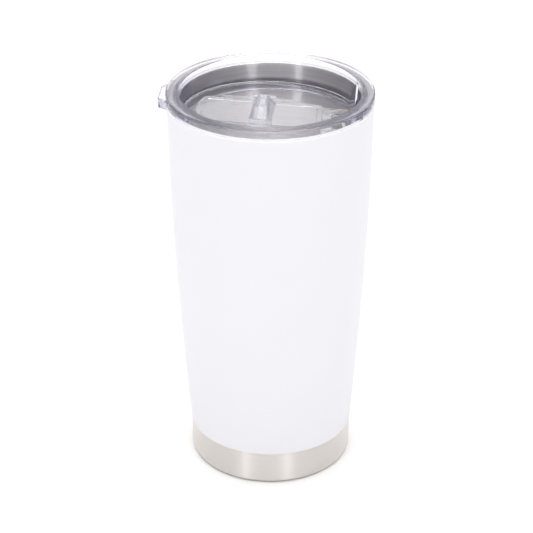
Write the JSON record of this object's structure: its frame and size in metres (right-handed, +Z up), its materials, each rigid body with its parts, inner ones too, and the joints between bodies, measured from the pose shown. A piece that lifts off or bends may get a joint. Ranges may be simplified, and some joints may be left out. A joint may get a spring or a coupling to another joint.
{
  "type": "insulated tumbler with lid",
  "caption": "Tapered double-walled steel drinking tumbler with a white coated body, a bare steel foot band and a clear push-in lid whose slider opens and closes the sip hole.",
  "frame": {"origin": "on the cup's axis, in the plane that the cup stands on; the base cover's flat face is 0.5 mm above it", "axes": "+Z up along the cup's axis; +X towards the sip hole, so the pry tab is at -X; the slider's travel lies in the X-Z plane, 3.25 degrees below +X"},
  "size_m": [0.0911, 0.0882, 0.175],
  "materials": {
    "brushed_steel": "bare stainless steel, brushed round the cup, satin",
    "white_coating": "baked white powder coating, smooth satin with a very fine grain",
    "liner_steel": "stainless steel, finely turned round the cup",
    "copper_foil": "thin bright copper foil",
    "inner_steel": "mill-finish stainless sheet",
    "base_steel": "stainless disc with fine rings turned about its centre",
    "solder_glass": "dark glossy solder glass",
    "getter_alloy": "dull pressed metal powder",
    "clear_lid": "clear moulded plastic, glossy, with a faint violet cast where it is thick",
    "silicone": "translucent silicone, satin",
    "clear_slider": "clear moulded plastic, glossy"
  },
  "bodies": {
    "tumbler": {"outer_shell": "brushed_steel", "body_coating": "white_coating", "liner_wall": "liner_steel", "liner_bottom": "liner_steel", "reflective_foil": "copper_foil", "outer_bottom": "inner_steel", "base_cover": "base_steel", "vacuum_seal_bead": "solder_glass", "getter_holder": "inner_steel", "getter_pellet": "getter_alloy"},
    "lid": {"lid_body": "clear_lid", "lid_gasket": "silicone"},
    "slider": {"slider": "clear_slider"}
  },
  "joints": [
    {"name": "lid_lift", "type": "slide", "parent": "tumbler", "child": "lid", "axis": [0, 0, 1], "range_m": [0, 0.04]},
    {"name": "slider_slide", "type": "slide", "parent": "lid", "child": "slider", "axis": [0.9984, 0, -0.0567], "range_m": [0, 0.0101]}
  ]
}
